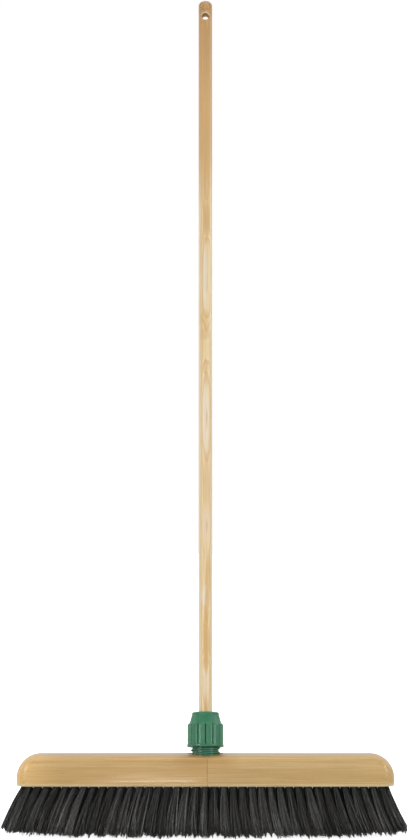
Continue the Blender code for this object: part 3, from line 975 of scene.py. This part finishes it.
def pole_marks(g, place, share, colour):
    """Dark pores, more of them at the top, and the mottled, handled end."""
    pore = g.noise(g.scaled(place, (2400.0, 2400.0, 260.0)), 1.0, 1.0)
    pore = g.spread(pore, 0.66, 0.76)
    speckle = g.math("MULTIPLY_ADD", g.spread(share, 0.955, 0.985), 0.45, 0.22)
    colour = g.mix(g.math("MULTIPLY", pore, speckle), colour, (0.26, 0.13, 0.05))
    mottle = g.spread(g.noise(g.scaled(place, (430.0, 430.0, 330.0)), 1.0, 2.0), 0.5, 0.62)
    mottle = g.math("MULTIPLY", mottle, g.spread(share, 0.972, 0.985, 0.0, 0.8))
    return g.mix(mottle, colour, (0.32, 0.17, 0.07))


def pole_wood(name):
    """Lacquered pale softwood, grain along the pole: flat growth layers that its round
    surface cuts into long lenses, golden near the top and creamier below."""
    g = Graph(name)
    place = g.place()
    xyz = g.add("ShaderNodeSeparateXYZ", {0: place})
    share = g.math("DIVIDE", xyz.outputs["Z"], HANDLE_TOP_S * MM)
    wander = g.noise(g.scaled(place, (70.0, 70.0, 8.0)), 1.0, 3.0)
    wander = g.math("SUBTRACT", wander, 0.5)
    streak = g.noise(g.scaled(place, (360.0, 360.0, 4.0)), 1.0, 4.0, 0.65)
    fine = g.noise(g.scaled(place, (1900.0, 1900.0, 34.0)), 1.0, 3.0, 0.6)
    colour = pole_colour(g, xyz, share, wander, streak)
    colour = g.mix(g.spread(streak, 0.48, 0.68, 0.0, 0.3), colour, (0.6, 0.37, 0.155))
    colour = g.mix(g.spread(fine, 0.45, 0.75, 0.0, 0.12), colour, (0.4, 0.22, 0.09))
    colour = pole_marks(g, place, share, colour)
    # Painted highlight on the rim above the hang hole.
    colour = g.mix(hole_rim_highlight(g, xyz), colour, (0.85, 0.71, 0.5))
    bare = hole_wall(g, xyz)
    colour = g.mix(bare, colour, (0.52, 0.37, 0.19))
    rough = g.math("MULTIPLY_ADD", bare, 0.6, g.spread(streak, 0.3, 0.7, 0.3, 0.4))
    coat = g.math("MULTIPLY_ADD", bare, -0.3, 0.3, clamp=True)
    g.feed(g.shader.inputs["Coat Weight"], coat)
    height = g.math("MULTIPLY_ADD", fine, 0.5, streak)
    normal = g.bump(height, 0.00005, 0.35)
    return g.finish(colour, rough, normal, Coat_Roughness=0.2, Specular_IOR_Level=0.35)


def moulded(name, base, tint, rough_low, rough_high):
    """Moulded plastic: faint flow mottling, a fine etched grain, a few scuffs, and darkening
    in its hollows that is painted shade with some grime."""
    g = Graph(name)
    place = g.place()
    flow = g.noise(g.scaled(place, (38.0, 38.0, 70.0)), 1.0, 3.0, 0.55)
    etch = g.noise(place, 2600.0, 2.0)
    scuff = g.noise(g.scaled(place, (900.0, 900.0, 90.0), (3.1, 1.7, 0.4)), 1.0, 3.0, 0.7)
    scuff = g.spread(scuff, 0.64, 0.78)
    grime_and_shade = g.add("ShaderNodeAttribute", attribute_name="grime_and_shade").outputs["Fac"]
    colour = g.mix(g.spread(flow, 0.3, 0.7), base, tint)
    # Painted shade, with some grime, darkens the hollows.
    colour = g.mix(g.math("MULTIPLY", grime_and_shade, 0.56), colour, tuple(c * 0.3 for c in base))
    colour = g.mix(g.math("MULTIPLY", scuff, 0.25), colour, tuple(c * 1.5 + 0.03 for c in tint))
    rough = g.spread(flow, 0.3, 0.7, rough_low, rough_high)
    rough = g.math("MULTIPLY_ADD", scuff, 0.14, rough)
    normal = g.bump(etch, 0.00002, 0.5)
    return g.finish(colour, rough, normal, Specular_IOR_Level=0.5)


# Colours of the fibres, by their tone from 0 to 1.
FIBRE_TONES = (
    (0.15, (0.008, 0.008, 0.008)),
    (0.42, (0.024, 0.024, 0.023)),
    (0.62, (0.088, 0.088, 0.082)),
    (0.85, (0.31, 0.31, 0.29)),
)


def black_fibre(name):
    """Stiff near-black fibre with its own tone each, greyer worn tips and painted shade near the
    roots.
    """
    g = Graph(name)
    tone = g.add("ShaderNodeAttribute", attribute_name="tone").outputs["Fac"]
    along = g.add("ShaderNodeAttribute", attribute_name="along").outputs["Fac"]
    place = g.place()
    patch = g.noise(g.scaled(place, (16.0, 16.0, 9.0)), 1.0, 2.0)
    colour = g.ramp(tone, FIBRE_TONES)
    colour = g.mix(g.spread(patch, 0.45, 0.7, 0.0, 0.4), colour, (0.062, 0.06, 0.042))
    # Painted shade darkens the fibres towards their roots.
    colour = g.mix(g.spread(along, 0.0, 0.7, 0.66, 0.0), colour, (0.006, 0.006, 0.005))
    worn = g.math("MULTIPLY", g.spread(along, 0.78, 1.0), g.spread(tone, 0.2, 0.9))
    colour = g.mix(g.math("MULTIPLY", worn, 0.4), colour, (0.12, 0.118, 0.108))
    grain = g.noise(g.scaled(place, (800.0, 800.0, 170.0)), 1.0, 2.0)
    colour = g.mix(g.spread(grain, 0.42, 0.62, 0.0, 0.55), colour, (0.01, 0.01, 0.01))
    streak = g.noise(g.scaled(place, (900.0, 900.0, 60.0)), 1.0, 2.0)
    rough = g.spread(streak, 0.3, 0.7, 0.4, 0.55)
    normal = g.bump(streak, 0.00003, 0.3)
    return g.finish(colour, rough, normal, Specular_IOR_Level=0.4)


def zinc(name):
    """Zinc plating with a faint spangle."""
    g = Graph(name)
    place = g.place()
    spangle = g.noise(place, 420.0, 3.0, 0.6)
    colour = g.mix(g.spread(spangle, 0.3, 0.7), (0.60, 0.59, 0.55), (0.70, 0.68, 0.62))
    rough = g.spread(spangle, 0.3, 0.7, 0.28, 0.46)
    return g.finish(colour, rough, g.bump(spangle, 0.00003, 0.4), Metallic=1.0)


def plain_floor(name):
    """A white sweep that gives back a little more light than it gets."""
    g = Graph(name)
    grain = g.noise(g.place(), 30.0, 3.0)
    colour = g.mix(g.spread(grain, 0.3, 0.7), (0.9, 0.9, 0.9), (0.92, 0.92, 0.92))
    fixed = {"Specular_IOR_Level": 0.0, "Emission_Strength": 0.9}
    fixed["Emission_Color"] = (1.0, 1.0, 1.0, 1.0)
    return g.finish(colour, g.spread(grain, 0.3, 0.7, 0.8, 0.9), **fixed)


# ---------------------------------------------------------------- studio


def build_floor():
    half, z = 9000.0, FLOOR_Z
    corners = [(-half, -half, z), (half, -half, z), (half, half, z), (-half, half, z)]
    floor = new_object("studio_floor", corners, [(0, 1, 2, 3)], smooth_angle=None)
    floor.data.materials.append(plain_floor("pale_floor"))
    floor.visible_diffuse = False
    floor.visible_glossy = False
    floor.visible_transmission = False
    floor.visible_shadow = False


def build_world():
    """The backdrop is plain white. The room that lights the broom is dimmer at its sides,
    so round pieces keep their darker edges. The floor lets this light through."""
    world = bpy.data.worlds.new("studio")
    world.use_nodes = True
    bpy.context.scene.world = world
    nodes, links = world.node_tree.nodes, world.node_tree.links
    room = nodes["Background"]
    parts = nodes.new("ShaderNodeSeparateXYZ")
    links.new(nodes.new("ShaderNodeTexCoord").outputs["Generated"], parts.inputs[0])
    height = nodes.new("ShaderNodeMapRange")
    for number, value in ((1, -1.0), (2, 1.0), (3, 0.0), (4, 1.0)):
        height.inputs[number].default_value = value
    ramp = nodes.new("ShaderNodeValToRGB")
    elements = ramp.color_ramp.elements
    while len(elements) < len(ROOM_LIGHT):
        elements.new(0.5)
    for element, (at, light) in zip(elements, ROOM_LIGHT, strict=True):
        element.position = at
        element.color = (light, light * 0.995, light * 0.985, 1.0)
    links.new(parts.outputs["Z"], height.inputs[0])
    links.new(height.outputs[0], ramp.inputs["Fac"])
    links.new(ramp.outputs["Color"], room.inputs["Color"])
    wall = nodes.new("ShaderNodeMapRange")
    wall.interpolation_type = "SMOOTHSTEP"
    for number, value in ((1, 0.15), (2, 0.85), (3, 1.0), (4, WALL_GAIN)):
        wall.inputs[number].default_value = value
    links.new(parts.outputs["Y"], wall.inputs[0])
    links.new(wall.outputs[0], room.inputs["Strength"])
    backdrop = nodes.new("ShaderNodeBackground")
    backdrop.inputs["Color"].default_value = (1.0, 1.0, 1.0, 1.0)
    seen = nodes.new("ShaderNodeLightPath")
    either = nodes.new("ShaderNodeMixShader")
    links.new(seen.outputs["Is Camera Ray"], either.inputs[0])
    links.new(room.outputs[0], either.inputs[1])
    links.new(backdrop.outputs[0], either.inputs[2])
    links.new(either.outputs[0], nodes["World Output"].inputs["Surface"])


def add_area(name, place, target, size, energy):
    light = bpy.data.lights.new(name, "AREA")
    light.shape = "RECTANGLE"
    light.size, light.size_y = size
    light.energy = energy
    made = bpy.data.objects.new(name, light)
    bpy.context.scene.collection.objects.link(made)
    made.location = place
    made.rotation_euler = (Vector(target) - Vector(place)).to_track_quat("-Z", "Y").to_euler()
    made.visible_camera = False
    return made


def build_lights():
    """A tall softbox at each front corner, a weak one overhead, a wide front fill, rim lights
    behind each side, and a low strip on the left that only glints in the stock's lacquer."""
    for name, place, target, size, energy in LIGHTS:
        add_area(name, place, target, size, energy)
    glint = add_area("low_strip", (-0.088, -0.37, 0.01), (-0.088, 0.0, 0.087), (0.15, 0.032), 0.23)
    glint.visible_diffuse = False


def build_camera():
    camera = bpy.data.cameras.new("camera")
    camera.sensor_width = 36.0
    camera.lens = CAMERA_LENS
    camera.clip_end = 60.0
    made = bpy.data.objects.new("camera", camera)
    bpy.context.scene.collection.objects.link(made)
    made.location = Vector((CAMERA_X, -CAMERA_DISTANCE, CAMERA_HEIGHT)) * MM
    made.rotation_euler = (math.pi / 2, 0.0, 0.0)
    bpy.context.scene.camera = made


def dress_cad_nodes(frame, materials):
    """Pieces that stay as the CAD has them get only a material."""
    for node, material in materials.items():
        mesh = frame["nodes"][node].data
        mesh.materials.clear()
        mesh.materials.append(material)
        for face in mesh.polygons:
            face.material_index = 0


def main():
    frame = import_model()
    bpy.context.scene.view_settings.view_transform = "Standard"
    build_camera()
    build_world()
    build_lights()
    build_floor()
    green = moulded("green_plastic", (0.029, 0.186, 0.092), (0.041, 0.217, 0.111), 0.3, 0.38)
    build_stock([beech(*wood) for wood in STOCK_WOODS])
    build_tufts(black_fibre("black_fibre"))
    build_socket(green)
    build_clamp_nut(green)
    build_handle(pole_wood("pole_softwood"))
    dress_cad_nodes(
        frame,
        {
            "grip_ring": moulded("ring_plastic", (0.74, 0.74, 0.7), (0.8, 0.8, 0.77), 0.36, 0.46),
            "socket_screw": zinc("zinc_steel"),
        },
    )


main()
